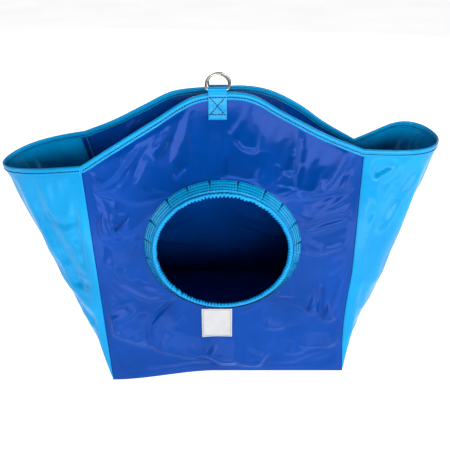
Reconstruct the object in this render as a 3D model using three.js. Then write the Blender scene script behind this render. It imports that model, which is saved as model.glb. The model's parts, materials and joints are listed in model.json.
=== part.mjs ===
// Hanging feed bag of coated PVC sheet: blue front and back panels, sky-blue side gussets that
// splay into two open mouths, a bound round hole in the front, a bound rim, and D-rings on tabs.
// Millimetres. X to the right, Y to the back, Z up. The origin is the middle of the base's underside.
import * as THREE from 'three';

// ---- driving dimensions ---------------------------------------------------------------------
const SHEET = 1.6;            // thickness of every panel
const GAP = 0.3;              // air between pieces that touch
const RIM_MARGIN = 3.4;       // the walls stop this far under the rim's line, inside the binding
const PANEL_MARGIN = 1.0;     // the front and back panels stop this far from the seam line
const GUSSET_MARGIN = 3.2;    // a gusset's edge stops this far from it
const WALL_FOOT = SHEET + 0.9;   // height where the walls start, just above the base
const SIDE_HEIGHT = 420;      // height of the seams
const PANEL_WIDTH = 445;      // the front and back panels' width from seam to seam
const GUSSET_DEPTH = 306;     // a gusset's width from seam to seam
const BULGE_FRONT = 9;        // how far the panels swell between their edges
const BULGE_BACK = 12.6;
const LOW_EDGE_TURN = 0.45;   // part of the front's lower edge that turns to the left corner
const BOW_REACH = 0.3;        // part of a gusset's depth that bows sideways with its seam

const BASE = {                // corners of the base's outline, at the floor
  frontLeft: [-214, -164, 0], frontRight: [229, -144, 0],
  backRight: [222, 147, 0], backLeft: [-222, 142, 0],
};
const TOP = {                 // upper ends of the four upright seams
  frontLeft: [-222, -60, 404], frontRight: [214, -45, 425],
  backRight: [212, 7, 419], backLeft: [-236, 29, 423],
};
const WAIST = {               // how far each seam bows sideways at a quarter of its height
  frontLeft: 0, frontRight: -6, backRight: -2, backLeft: 0,
};

// The rim between the seams: a hump over the middle of each panel, a teardrop round each gusset.
const FRONT_RIM = [[-168, -48, 434], [-110, -36, 466], [-50, -27, 499], [-11, -25, 506],
  [38, -25, 503], [88, -28, 478], [153, -37, 447]];
const BACK_RIM = [[-181, 22, 446], [-130, 17, 472], [-82, 11, 496], [-40, 8, 503],
  [-11, 8, 504], [26, 8, 506], [66, 8, 500], [112, 9, 479], [162, 9, 446]];
const LEFT_RIM = [[-295, -54, 396], [-340, -41, 391], [-366, -22, 387], [-373, -5, 386],
  [-365, 10, 390], [-337, 28, 400], [-288, 37, 411]];
const RIGHT_RIM = [[267, -43, 422], [314, -35, 421], [341, -17, 421], [352, 6, 422],
  [348, 29, 425], [324, 56, 430], [293, 54, 429], [250, 28, 424]];
// Where the two folds of each gusset meet the rim, as parts of the rim's length.
const FOLDS = { left: [0.47, 0.60], right: [0.41, 0.58] };
const PANEL_STEPS = 16;       // columns across the front and back panels, and stations of the binding
const GUSSET_STEPS = 20;      // the same for a gusset
const ROWS = 8;               // rows up the back panel and the gussets
const HOLE_ROWS = 6;          // rows between the collar and the front panel's edge
const FOLD_SOFTNESS = 0.07;   // part of the gusset's depth over which a fold rounds off

const HOLE = {
  x: -4, y: -97, z: 268, tilt: 4.3 * Math.PI / 180,   // centre of the collar's foot, lean of its axis
  foot: 128, lip: 115.5, rise: 10.5,                  // radii of the cone's foot and lip, and its height
};
const COLLAR = {              // the strip starts this far up the cone, outside and inside
  layer: 1.2, gap: 0.6, rollLength: 10, rollWidth: 6, start: 0.4, innerStart: 5, segments: 48, rollSteps: 6,
};
const BINDING = { leg: 11.5, layer: 1.2, gap: 1.1 };
const TAB = {
  width: 28, tail: 37, layer: 1.2, innerEye: 2.2, clear: 0.1, frontX: -11, backX: -9,
};
// How a rim tab sits: its distance off the binding, how far its fold is lowered from just above
// the rim, its tilt away from the panel, and the lean of its ring over the bag.
const SEAT = {
  front: { stand: 1.1, drop: 0, tilt: 0, lean: 46 * Math.PI / 180 },
  back: { stand: 3.4, drop: 9, tilt: 5 * Math.PI / 180, lean: 20 * Math.PI / 180 },
};
const RING = { wire: 3.5, arc: 16.9, lift: 7.1, drop: 3.5, bar: 13.9 };
const REAR_TAB = {            // its height is a part of the back panel's
  x: -13, height: 0.26, length: 34, stand: 1.5, eyeLift: 2,
};
const LABEL = { width: 56, height: 62, x: -15, z: 107, thick: 0.8 };

const BLUE = { color: 0x0a47b8, roughness: 0.28, metalness: 0 };
const SKY = { color: 0x12a4ea, roughness: 0.3, metalness: 0 };
const NICKEL = { color: 0xb9b4aa, roughness: 0.25, metalness: 1 };
const WHITE = { color: 0xf2f2f0, roughness: 0.6, metalness: 0 };

// ---- small helpers --------------------------------------------------------------------------
const V = (p) => new THREE.Vector3(...p);
const mix = (a, b, t) => a + (b - a) * t;
const lerp = (a, b, t) => a.clone().lerp(b, t);
const smooth = (t) => t * t * (3 - 2 * t);

function mesh(name, geometry, look) {
  geometry.computeVertexNormals();
  const piece = new THREE.Mesh(geometry, new THREE.MeshStandardMaterial(look));
  piece.name = name;
  return piece;
}

// A skin over a grid of points. Rows or columns that close on themselves wrap round. A flipped
// skin faces the other way with the same diagonals, so that it stays parallel to its twin.
function skin(grid, wrapRows, wrapColumns, positions, triangles, flip = false) {
  const first = positions.length / 3;
  const columns = grid[0].length;
  grid.flat().forEach((p) => positions.push(p.x, p.y, p.z));
  const rowEnd = wrapRows ? grid.length : grid.length - 1;
  const columnEnd = wrapColumns ? columns : columns - 1;
  const at = (i, j) => first + (i % grid.length) * columns + (j % columns);
  for (let i = 0; i < rowEnd; i++) {
    for (let j = 0; j < columnEnd; j++) {
      const [a, b, c, d] = [at(i, j), at(i + 1, j), at(i + 1, j + 1), at(i, j + 1)];
      if (flip) triangles.push(a, c, b, a, d, c);
      else triangles.push(a, b, c, a, c, d);
    }
  }
}

function geometryFrom(positions, triangles) {
  const geometry = new THREE.BufferGeometry();
  geometry.setAttribute('position', new THREE.Float32BufferAttribute(positions, 3));
  geometry.setIndex(triangles);
  return geometry;
}

// A section carried round a closed loop. Each row is one closed section.
function ringSolid(rows) {
  const positions = [];
  const triangles = [];
  skin(rows, true, true, positions, triangles);
  return geometryFrom(positions, triangles);
}

// Unit normals of a grid of points, across its rows and columns.
function gridNormals(grid, wrapRows) {
  const n = grid.length;
  const m = grid[0].length;
  return grid.map((row, i) => row.map((_, j) => {
    const up = wrapRows ? grid[(i + 1) % n] : grid[Math.min(i + 1, n - 1)];
    const down = wrapRows ? grid[(i + n - 1) % n] : grid[Math.max(i - 1, 0)];
    const along = up[j].clone().sub(down[j]);
    const across = row[Math.min(j + 1, m - 1)].clone().sub(row[Math.max(j - 1, 0)]);
    return along.cross(across).normalize();
  }));
}

function offsetGrid(grid, distance, wrapRows) {
  const normals = gridNormals(grid, wrapRows);
  return grid.map((row, i) => row.map((p, j) => p.clone().addScaledVector(normals[i][j], distance)));
}

// A sheet with thickness. Its outer face is the grid, and it closes along every free edge.
function sheetSolid(outer, thickness) {
  const inner = offsetGrid(outer, -thickness, false);
  const positions = [];
  const triangles = [];
  const columns = outer[0].length;
  skin(outer, false, false, positions, triangles);
  const offset = positions.length / 3;
  skin(inner, false, false, positions, triangles, true);
  const edge = [];
  for (let i = 0; i < outer.length; i++) edge.push(i * columns);
  for (let j = 1; j < columns; j++) edge.push((outer.length - 1) * columns + j);
  for (let i = outer.length - 2; i >= 0; i--) edge.push(i * columns + columns - 1);
  for (let j = columns - 2; j >= 1; j--) edge.push(j);
  edge.forEach((a, k) => {
    const b = edge[(k + 1) % edge.length];
    triangles.push(a, a + offset, b + offset, a, b + offset, b);
  });
  return geometryFrom(positions, triangles);
}

// ---- the bag's edges ------------------------------------------------------------------------
function seam(corner) {
  const low = V(BASE[corner]);
  const high = V(TOP[corner]);
  return (v) => {
    const p = lerp(low, high, v);
    p.x += WAIST[corner] * Math.sin(Math.PI * Math.min(v * 2, 1));
    return p;
  };
}
const SEAM = Object.fromEntries(Object.keys(BASE).map((corner) => [corner, seam(corner)]));

function rimCurve(start, middle, end) {
  return new THREE.CatmullRomCurve3([V(TOP[start]), ...middle.map(V), V(TOP[end])], false, 'centripetal');
}
const RIM = {
  front: rimCurve('frontLeft', FRONT_RIM, 'frontRight'),
  right: rimCurve('frontRight', RIGHT_RIM, 'backRight'),
  back: rimCurve('backLeft', BACK_RIM, 'backRight'),
  left: rimCurve('frontLeft', LEFT_RIM, 'backLeft'),
};

// A point on a curve that runs left to right, found by its x.
function atX(curve, x) {
  let low = 0;
  let high = 1;
  for (let k = 0; k < 40; k++) {
    const middle = (low + high) / 2;
    if (curve.getPoint(middle).x < x) low = middle;
    else high = middle;
  }
  return curve.getPoint(low);
}

// ---- front panel: a sheet with a round hole, whose lip turns forward into a short cone -------
const HOLE_CENTRE = new THREE.Vector3(HOLE.x, HOLE.y, HOLE.z);
const HOLE_AXIS = new THREE.Vector3(0, -Math.cos(HOLE.tilt), Math.sin(HOLE.tilt));
const HOLE_UP = new THREE.Vector3(0, Math.sin(HOLE.tilt), Math.cos(HOLE.tilt));
const LIP_LENGTH = Math.hypot(HOLE.foot - HOLE.lip, HOLE.rise);

const frontRim = (u) => atX(RIM.front, mix(TOP.frontLeft[0], TOP.frontRight[0], u));

// The free surface of the front panel, away from the hole.
function frontDepth(x, z) {
  const width = BASE.frontRight[0] - BASE.frontLeft[0];
  const u = THREE.MathUtils.clamp((x - BASE.frontLeft[0]) / width, 0, 1);
  const low = mix(BASE.frontLeft[1], BASE.frontRight[1], smooth(Math.min(1, u / LOW_EDGE_TURN)));
  const rim = atX(RIM.front, THREE.MathUtils.clamp(x, TOP.frontLeft[0], TOP.frontRight[0]));
  const v = THREE.MathUtils.clamp(z / rim.z, 0, 1);
  return mix(low, rim.y, v) - BULGE_FRONT * 16 * u * (1 - u) * v * (1 - v);
}

function ringPoint(radius, rise, angle) {
  return HOLE_CENTRE.clone()
    .addScaledVector(new THREE.Vector3(1, 0, 0), radius * Math.cos(angle))
    .addScaledVector(HOLE_UP, radius * Math.sin(angle))
    .addScaledVector(HOLE_AXIS, rise);
}

// A point between the collar's foot and the panel's edge: flat by the collar, free by the edge.
function besideHole(foot, edge, s) {
  const p = lerp(foot, edge, s);
  p.y = s < 1 ? mix(p.y, frontDepth(p.x, p.z), smooth(s)) : edge.y;
  return p;
}

const footAt = (edge) => Math.atan2(edge.clone().sub(HOLE_CENTRE).dot(HOLE_UP), edge.x - HOLE.x);

// The panel's outline, anticlockwise from the front, inside the seams and the rim.
function frontOutline(perSide) {
  const low = WALL_FOOT;
  const v0 = low / TOP.frontLeft[2];
  const v1 = 1 - RIM_MARGIN / TOP.frontLeft[2];
  const side = (corner, v, inward) => SEAM[corner](v).add(new THREE.Vector3(inward * PANEL_MARGIN, 0, 0));
  const bottom = (t) => {
    const x = mix(side('frontLeft', v0, 1).x, side('frontRight', v0, -1).x, t);
    return new THREE.Vector3(x, frontDepth(x, low), low);
  };
  const top = (t) => {
    const inside = THREE.MathUtils.clamp(1 - t, PANEL_MARGIN / PANEL_WIDTH, 1 - PANEL_MARGIN / PANEL_WIDTH);
    return frontRim(inside).sub(new THREE.Vector3(0, 0, RIM_MARGIN));
  };
  const right = (t) => side('frontRight', mix(v0, v1, t), -1);
  const left = (t) => side('frontLeft', mix(v1, v0, t), 1);
  const points = [];
  for (const edge of [bottom, right, top, left]) {
    for (let k = 0; k < perSide; k++) points.push(edge(k / perSide));
  }
  return points;
}

function frontPanel() {
  const outer = frontOutline(PANEL_STEPS).map((edge) => {
    const angle = footAt(edge);
    const foot = ringPoint(HOLE.foot, 0, angle);
    const lip = ringPoint(HOLE.lip, HOLE.rise, angle);
    const row = [lip, lerp(lip, foot, 0.5)];
    for (let k = 0; k <= HOLE_ROWS; k++) row.push(besideHole(foot, edge, k / HOLE_ROWS));
    return row;
  });
  const inner = offsetGrid(outer, SHEET, true);
  return ringSolid(outer.map((row, i) => [...inner[i], ...row.slice().reverse()]));
}

// The panel's outer face straight above or below the hole.
function frontFace(x, z) {
  const edge = atX(RIM.front, x);
  if (z < HOLE.z) {
    edge.x = HOLE.x + (x - HOLE.x) * (HOLE.z / (HOLE.z - z));
    edge.z = 0;
    edge.y = frontDepth(edge.x, 0);
  }
  const foot = ringPoint(HOLE.foot, 0, footAt(edge));
  const p = besideHole(foot, edge, (z - foot.z) / (edge.z - foot.z));
  return new THREE.Vector3(x, p.y, z);
}

// ---- collar: one strip folded over the hole's lip, round a soft roll at its front edge --------
function collar() {
  const slope = new THREE.Vector2(HOLE.lip - HOLE.foot, HOLE.rise).normalize();
  const out = new THREE.Vector2(slope.y, -slope.x);       // away from the panel, to the front
  const at = (along, off) => new THREE.Vector2(HOLE.foot, 0).addScaledVector(slope, along)
    .addScaledVector(out, off);
  const { layer, gap, rollLength, rollWidth, start, innerStart, segments, rollSteps } = COLLAR;
  const near = gap;
  const far = -SHEET - gap;
  const middle = (near + far) / 2;
  const end = LIP_LENGTH + gap;
  const profile = [at(start, near), at(start, near + layer), at(end, near + layer)];
  for (let k = 0; k <= rollSteps; k++) {                  // round the roll's front
    const a = Math.PI / 2 - (k / rollSteps) * Math.PI;
    profile.push(at(end + (1 + Math.cos(a)) * rollLength / 2, middle + Math.sin(a) * rollWidth / 2));
  }
  profile.push(at(end, far - layer), at(innerStart, far - layer), at(innerStart, far), at(end, far),
    at(end, near));
  profile.push(profile[0].clone());
  const piece = mesh('hole_collar', new THREE.LatheGeometry(profile, segments), SKY);
  piece.rotation.x = Math.PI - HOLE.tilt;
  piece.position.copy(HOLE_CENTRE);
  return piece;
}

// ---- back panel --------------------------------------------------------------------------------
function backPoint(u, v) {
  const left = SEAM.backLeft(v);
  const right = SEAM.backRight(v);
  const low = lerp(V(BASE.backLeft), V(BASE.backRight), u);
  const high = atX(RIM.back, mix(TOP.backLeft[0], TOP.backRight[0], u));
  const corners = lerp(lerp(V(BASE.backLeft), V(BASE.backRight), u),
    lerp(V(TOP.backLeft), V(TOP.backRight), u), v);
  const p = lerp(low, high, v).add(lerp(left, right, u)).sub(corners);
  p.y += BULGE_BACK * 16 * u * (1 - u) * v * (1 - v);
  return p;
}

function backPanel() {
  const edge = PANEL_MARGIN / PANEL_WIDTH;
  const grid = [];
  for (let i = 0; i <= PANEL_STEPS; i++) {
    const u = THREE.MathUtils.clamp(i / PANEL_STEPS, edge, 1 - edge);
    const row = [];
    for (let j = 0; j <= ROWS; j++) {
      const v = mix(WALL_FOOT / SIDE_HEIGHT, 1 - RIM_MARGIN / SIDE_HEIGHT, j / ROWS);
      row.push(backPoint(u, v));
    }
    grid.push(row);
  }
  return sheetSolid(grid.reverse(), SHEET);
}

// ---- gussets: a stiff rectangle folded along two lines from the base's corners to the mouth ----
function gussetSharp(side, u, v) {
  const [frontFold, backFold] = FOLDS[side];
  const front = side === 'left' ? 'frontLeft' : 'frontRight';
  const back = side === 'left' ? 'backLeft' : 'backRight';
  const rim = (t) => RIM[side].getPointAt(THREE.MathUtils.clamp(t, 0, 1));
  const a = frontFold * v;
  const b = 1 - (1 - backFold) * v;
  const lowFront = V(BASE[front]);
  const lowBack = V(BASE[back]);
  if (v > 1e-6 && u <= a) return lerp(lowFront, rim(u / v), v);
  if (v > 1e-6 && u >= b) return lerp(lowBack, rim(1 - (1 - u) / v), v);
  const w = (u - a) / (b - a);
  return lerp(lerp(lowFront, lowBack, w), rim(mix(frontFold, backFold, w)), v);
}

function gussetPoint(side, u, v) {
  const reach = Math.min(FOLD_SOFTNESS, u, 1 - u);
  const sum = new THREE.Vector3();
  const samples = 7;
  for (let k = 0; k < samples; k++) {
    sum.add(gussetSharp(side, u + reach * ((2 * k) / (samples - 1) - 1), v));
  }
  sum.divideScalar(samples);
  const [near, far] = side === 'left' ? ['frontLeft', 'backLeft'] : ['frontRight', 'backRight'];
  const bow = (corner, distance) => {
    const shift = SEAM[corner](v).x - mix(BASE[corner][0], TOP[corner][0], v);
    return shift * Math.max(0, 1 - distance / BOW_REACH) ** 2;
  };
  sum.x += bow(near, u) + bow(far, 1 - u);
  return sum;
}

function gusset(side) {
  const edge = GUSSET_MARGIN / GUSSET_DEPTH;
  const low = WALL_FOOT / SIDE_HEIGHT;
  const high = 1 - RIM_MARGIN / SIDE_HEIGHT;
  const grid = [];
  for (let i = 0; i <= GUSSET_STEPS; i++) {
    const u = THREE.MathUtils.clamp(i / GUSSET_STEPS, edge, 1 - edge);
    const row = [];
    for (let j = 0; j <= ROWS; j++) row.push(gussetPoint(side, u, mix(low, high, j / ROWS)));
    grid.push(row);
  }
  return sheetSolid(side === 'left' ? grid.reverse() : grid, SHEET);
}

// ---- base ----------------------------------------------------------------------------------------
function basePanel() {
  const outline = new THREE.Shape();
  const corners = ['frontLeft', 'frontRight', 'backRight', 'backLeft'].map((c) => BASE[c]);
  const steps = 8;
  outline.moveTo(corners[0][0], corners[0][1]);
  for (let k = 1; k <= steps; k++) {
    const x = mix(corners[0][0], corners[1][0], k / steps);
    outline.lineTo(x, frontDepth(x, 0));
  }
  outline.lineTo(corners[2][0], corners[2][1]);
  outline.lineTo(corners[3][0], corners[3][1]);
  return new THREE.ExtrudeGeometry(outline, { depth: SHEET, bevelEnabled: false });
}

// ---- rim binding: one strip folded over the whole top edge ------------------------------------
// Stations once round the rim, anticlockwise from above, with the directions out and down the wall.
function rimLoop() {
  const low = 1 - 1 / ROWS;
  const frontLow = (u) => {
    const edge = frontRim(u);
    return besideHole(ringPoint(HOLE.foot, 0, footAt(edge)), edge, 1 - 1 / HOLE_ROWS);
  };
  const runs = [
    { steps: PANEL_STEPS, top: frontRim, below: frontLow },
    {
      steps: GUSSET_STEPS,
      top: (u) => gussetPoint('right', u, 1),
      below: (u) => gussetPoint('right', u, low),
    },
    {
      steps: PANEL_STEPS,
      top: (u) => backPoint(1 - u, 1),
      below: (u) => backPoint(1 - u, low),
    },
    {
      steps: GUSSET_STEPS,
      top: (u) => gussetPoint('left', 1 - u, 1),
      below: (u) => gussetPoint('left', 1 - u, low),
    },
  ];
  const loop = [];
  for (const { steps, top, below } of runs) {
    for (let k = 0; k < steps; k++) {
      const p = top(k / steps);
      loop.push({ p, down: below(k / steps).sub(p).normalize() });
    }
  }
  return loop.map((station, i) => {
    const next = loop[(i + 1) % loop.length].p;
    const previous = loop[(i + loop.length - 1) % loop.length].p;
    const along = next.clone().sub(previous).normalize();
    const fall = station.down.addScaledVector(along, -station.down.dot(along)).normalize();
    const out = new THREE.Vector3().crossVectors(fall, along).normalize();
    return { p: station.p, out, fall };
  });
}

function rimBinding() {
  const { leg, layer, gap } = BINDING;
  const near = gap;
  const far = -SHEET - gap;
  const section = [[near, leg], [near, 0], [far, 0], [far, leg], [far - layer, leg],
    [far - layer, -layer], [near + layer, -layer], [near + layer, leg]];
  const rows = rimLoop().map(({ p, out, fall }) => section.map(([o, f]) =>
    p.clone().addScaledVector(out, o).addScaledVector(fall, f)));
  return ringSolid(rows.map((row) => row.reverse()));
}

// ---- tabs and D-rings ----------------------------------------------------------------------------------
// A tab's frame: origin on the panel's outer face, up along the panel towards the ring, out from it.
function frameAt(origin, up, out) {
  const side = new THREE.Vector3().crossVectors(up, out).normalize();
  const matrix = new THREE.Matrix4().makeBasis(side, up, out);
  matrix.setPosition(origin);
  return matrix;
}

const EYE_OUTER = TAB.innerEye + TAB.layer;

// A strip folded over the ring's bar: an eye above two layers lying on each other.
function tabGeometry(tail, eyeHeight) {
  const thick = 2 * TAB.layer;
  const shape = new THREE.Shape();
  const neck = Math.asin((thick / 2) / EYE_OUTER);
  shape.moveTo(-thick / 2, -tail);
  shape.lineTo(thick / 2, -tail);
  const steps = 20;
  for (let k = 0; k <= steps; k++) {
    const a = -Math.PI / 2 + neck + (k / steps) * (2 * Math.PI - 2 * neck);
    shape.lineTo(EYE_OUTER * Math.cos(a), eyeHeight + EYE_OUTER * Math.sin(a));
  }
  const eye = new THREE.Path();
  eye.absarc(0, eyeHeight, TAB.innerEye, 0, 2 * Math.PI, true);
  shape.holes.push(eye);
  const settings = { depth: TAB.width, bevelEnabled: false, curveSegments: 8 };
  const geometry = new THREE.ExtrudeGeometry(shape, settings);
  geometry.translate(0, 0, -TAB.width / 2);
  geometry.rotateY(-Math.PI / 2);                 // the profile's x becomes the frame's out
  return geometry;
}

// A D-ring's centreline in its own plane, with its bar's middle at the origin: an arc a little
// over half a circle, two tight corners and the straight bar.
function ringPath() {
  const from = -Math.asin(RING.drop / RING.arc);
  const points = [];
  const steps = 22;
  for (let k = 0; k <= steps; k++) {
    const a = mix(from, Math.PI - from, k / steps);
    points.push([RING.arc * Math.cos(a), RING.lift + RING.arc * Math.sin(a)]);
  }
  const corner = [[2.3, 2.7], [1.7, 1.0], [0.8, 0.15], [0, 0]];   // from the side down to the bar
  corner.forEach(([x, y]) => points.push([-RING.bar - x, y]));
  points.push([0, 0]);
  corner.reverse().forEach(([x, y]) => points.push([RING.bar + x, y]));
  return points.map(([x, y]) => new THREE.Vector3(x, y, 0));
}

function ringGeometry() {
  const path = ringPath();
  const sides = 8;
  const normal = new THREE.Vector3(0, 0, 1);
  const rows = path.map((p, i) => {
    const next = path[(i + 1) % path.length];
    const previous = path[(i + path.length - 1) % path.length];
    const along = next.clone().sub(previous).normalize();
    const across = new THREE.Vector3().crossVectors(along, normal);
    const row = [];
    for (let k = 0; k < sides; k++) {
      const a = (k / sides) * 2 * Math.PI;
      row.push(p.clone().addScaledVector(across, Math.cos(a) * RING.wire / 2)
        .addScaledVector(normal, Math.sin(a) * RING.wire / 2));
    }
    return row;
  });
  return ringSolid(rows);
}

function placed(name, geometry, look, matrix) {
  geometry.applyMatrix4(matrix);
  return mesh(name, geometry, look);
}

// A tab over the rim with its ring leaning in over the mouth.
function rimTab(prefix, rim, up, out) {
  const { stand, drop, tilt, lean } = SEAT[prefix];
  const eyeHeight = BINDING.layer + GAP + EYE_OUTER + TAB.clear - drop;
  const lift = BINDING.gap + BINDING.layer + stand + TAB.layer;
  const tabUp = up.clone().multiplyScalar(Math.cos(tilt)).addScaledVector(out, Math.sin(tilt));
  const tabOut = out.clone().multiplyScalar(Math.cos(tilt)).addScaledVector(up, -Math.sin(tilt));
  const frame = frameAt(rim.clone().addScaledVector(out, lift), tabUp, tabOut);
  const bar = new THREE.Vector3(0, eyeHeight, 0).applyMatrix4(frame);
  const facing = Math.sign(out.y);
  const ringUp = new THREE.Vector3(0, -facing * Math.sin(lean), Math.cos(lean));
  const ringOut = new THREE.Vector3(0, facing * Math.cos(lean), Math.sin(lean));
  return [placed(`${prefix}_tab`, tabGeometry(TAB.tail, eyeHeight), SKY, frame),
    placed(`${prefix}_d_ring`, ringGeometry(), NICKEL, frameAt(bar, ringUp, ringOut))];
}

function frontTab() {
  const rim = atX(RIM.front, TAB.frontX);
  const up = rim.clone().sub(frontFace(TAB.frontX, rim.z - TAB.tail)).setX(0).normalize();
  return rimTab('front', rim, up, new THREE.Vector3(0, -up.z, up.y));
}

function backTab() {
  const rim = atX(RIM.back, TAB.backX);
  const u = (TAB.backX - TOP.backLeft[0]) / (TOP.backRight[0] - TOP.backLeft[0]);
  const up = rim.clone().sub(backPoint(u, 1 - TAB.tail / rim.z)).setX(0).normalize();
  return rimTab('back', rim, up, new THREE.Vector3(0, up.z, -up.y));
}

// The tab low on the back panel, with its ring hanging against the panel from its lower end.
function rearTab() {
  const u = (REAR_TAB.x - BASE.backLeft[0]) / (BASE.backRight[0] - BASE.backLeft[0]);
  const at = backPoint(u, REAR_TAB.height);
  const lower = backPoint(u, REAR_TAB.height - REAR_TAB.length / SIDE_HEIGHT);
  const up = lower.sub(at).setX(0).normalize();
  const out = new THREE.Vector3(0, -up.z, up.y);
  const eyeHeight = EYE_OUTER + REAR_TAB.eyeLift;
  const frame = frameAt(at.clone().addScaledVector(out, EYE_OUTER + REAR_TAB.stand), up, out);
  const bar = new THREE.Vector3(0, eyeHeight, 0).applyMatrix4(frame);
  return [placed('lower_rear_tab', tabGeometry(REAR_TAB.length, eyeHeight), SKY, frame),
    placed('lower_rear_d_ring', ringGeometry(), NICKEL, frameAt(bar, up, out))];
}

// ---- label: a plain sewn patch under the collar ------------------------------------------------
function labelPatch() {
  const steps = 3;
  const grid = [];
  for (let i = 0; i <= steps; i++) {
    const row = [];
    for (let j = 0; j <= steps; j++) {
      const x = LABEL.x + (i / steps - 0.5) * LABEL.width;
      const z = LABEL.z + (j / steps - 0.5) * LABEL.height;
      row.push(frontFace(x, z));
    }
    grid.push(row);
  }
  return sheetSolid(offsetGrid(grid, LABEL.thick + 2 * GAP, false), LABEL.thick);
}

// ---- the bag -----------------------------------------------------------------------------------
const bag = new THREE.Group();
bag.add(
  mesh('front_panel', frontPanel(), BLUE),
  mesh('back_panel', backPanel(), BLUE),
  mesh('left_gusset', gusset('left'), SKY),
  mesh('right_gusset', gusset('right'), SKY),
  mesh('base_panel', basePanel(), BLUE),
  mesh('rim_binding', rimBinding(), SKY),
  collar(),
  ...frontTab(),
  ...backTab(),
  ...rearTab(),
  mesh('label_patch', labelPatch(), WHITE),
);

export default bag;
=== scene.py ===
"""A hanging feed bag of glossy coated sheet: blue front and back, sky-blue splayed gussets, a bound
rim, a round collared hole, D-rings on folded tabs and a plain sewn label.

Shapes are worked out in millimetres, in the CAD model's frame, and become metres in piece().
"""
import json
import math

import bpy
import numpy as np
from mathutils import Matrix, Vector
from mathutils.bvhtree import BVHTree


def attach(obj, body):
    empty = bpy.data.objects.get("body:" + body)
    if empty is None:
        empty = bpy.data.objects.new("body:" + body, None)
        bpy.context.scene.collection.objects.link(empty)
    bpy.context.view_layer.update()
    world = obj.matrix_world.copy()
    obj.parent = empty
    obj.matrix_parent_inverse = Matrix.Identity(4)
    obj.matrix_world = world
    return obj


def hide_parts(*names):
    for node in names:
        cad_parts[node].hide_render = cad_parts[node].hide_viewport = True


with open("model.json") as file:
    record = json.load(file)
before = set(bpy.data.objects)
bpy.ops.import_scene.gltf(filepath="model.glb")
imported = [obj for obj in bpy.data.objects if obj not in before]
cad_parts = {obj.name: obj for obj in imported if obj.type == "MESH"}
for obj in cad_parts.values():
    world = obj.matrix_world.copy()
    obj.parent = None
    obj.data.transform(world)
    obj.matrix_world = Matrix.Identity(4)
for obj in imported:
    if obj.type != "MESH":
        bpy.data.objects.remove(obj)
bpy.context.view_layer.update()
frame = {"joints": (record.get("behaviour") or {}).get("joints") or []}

MM = 0.001

# ---- driving sizes, as in the CAD model ------------------------------------------------
SHEET = 0.8                   # thickness of the coated sheet, an estimate
SIDE_HEIGHT = 420
PANEL_WIDTH = 445
GUSSET_DEPTH = 306
BULGE_FRONT = 9
BULGE_BACK = 12.6
LOW_EDGE_TURN = 0.45
BOW_REACH = 0.3
FOLD_SOFTNESS = 0.07
FOLDS = {"left": (0.47, 0.60), "right": (0.41, 0.58)}
BASE = {
    "frontLeft": (-214, -164, 0), "frontRight": (229, -144, 0),
    "backRight": (222, 147, 0), "backLeft": (-222, 142, 0),
}
TOP = {
    "frontLeft": (-222, -60, 404), "frontRight": (214, -45, 425),
    "backRight": (212, 7, 419), "backLeft": (-236, 29, 423),
}
WAIST = {"frontLeft": 0, "frontRight": -6, "backRight": -2, "backLeft": 0}
FRONT_RIM = [(-168, -48, 434), (-110, -36, 466), (-50, -27, 499), (-11, -25, 506),
             (38, -25, 503), (88, -28, 478), (153, -37, 447)]
BACK_RIM = [(-181, 22, 446), (-130, 17, 472), (-82, 11, 496), (-40, 8, 503), (-11, 8, 504),
            (26, 8, 506), (66, 8, 500), (112, 9, 479), (162, 9, 446)]
LEFT_RIM = [(-295, -54, 396), (-340, -41, 391), (-366, -22, 387), (-373, -5, 386),
            (-365, 10, 390), (-337, 28, 400), (-288, 37, 411)]
RIGHT_RIM = [(267, -43, 422), (314, -35, 421), (341, -17, 421), (352, 6, 422),
             (348, 29, 425), (324, 56, 430), (293, 54, 429), (250, 28, 424)]
HOLE = {"x": -4, "y": -97, "z": 268, "tilt": math.radians(4.3), "foot": 128, "lip": 115.5, "rise": 10.5}
TAB = {"width": 28, "tail": 37, "layer": 1.2, "inner_eye": 2.2, "clear": 0.1,
       "front_x": -11, "back_x": -9}
SEAT = {                      # how a rim tab sits, and how far its ring leans over the bag
    "front": {"stand": 1.1, "drop": 0, "tilt": 0, "lean": math.radians(46)},
    "back": {"stand": 3.4, "drop": 9, "tilt": math.radians(5), "lean": math.radians(20)},
}
REAR_TAB = {"x": -13, "height": 0.26, "length": 34, "stand": 1.5, "eye_lift": 2}
RING = {"wire": 3.5, "arc": 16.9, "lift": 7.1, "drop": 3.5, "bar": 13.9}
BINDING = {"gap": 1.1, "layer": 1.2}
AIR = 0.3                     # air between pieces that touch, in the CAD model
LABEL = {"width": 56, "height": 62, "x": -15, "z": 107}
BACK_WIDTH = BASE["backRight"][0] - BASE["backLeft"][0]


# ---- small helpers ---------------------------------------------------------------------
def unit(v):
    return v / np.maximum(np.linalg.norm(v, axis=-1, keepdims=True), 1e-9)


def mix(a, b, t):
    return np.asarray(a, float) + (np.asarray(b, float) - np.asarray(a, float)) * t


def smooth(t):
    t = np.clip(t, 0, 1)
    return t * t * (3 - 2 * t)


def waves(points, seed, shortest, longest, count=14):
    """Soft seeded noise between about -1 and 1: plane waves in every direction."""
    rng = np.random.default_rng(seed)
    total = np.zeros(points.shape[:-1])
    for _ in range(count):
        direction = unit(rng.normal(size=points.shape[-1]))
        length = rng.uniform(shortest, longest)
        total += np.sin(points @ direction * 2 * np.pi / length + rng.uniform(0, 2 * np.pi))
    return total / math.sqrt(count)


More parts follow.
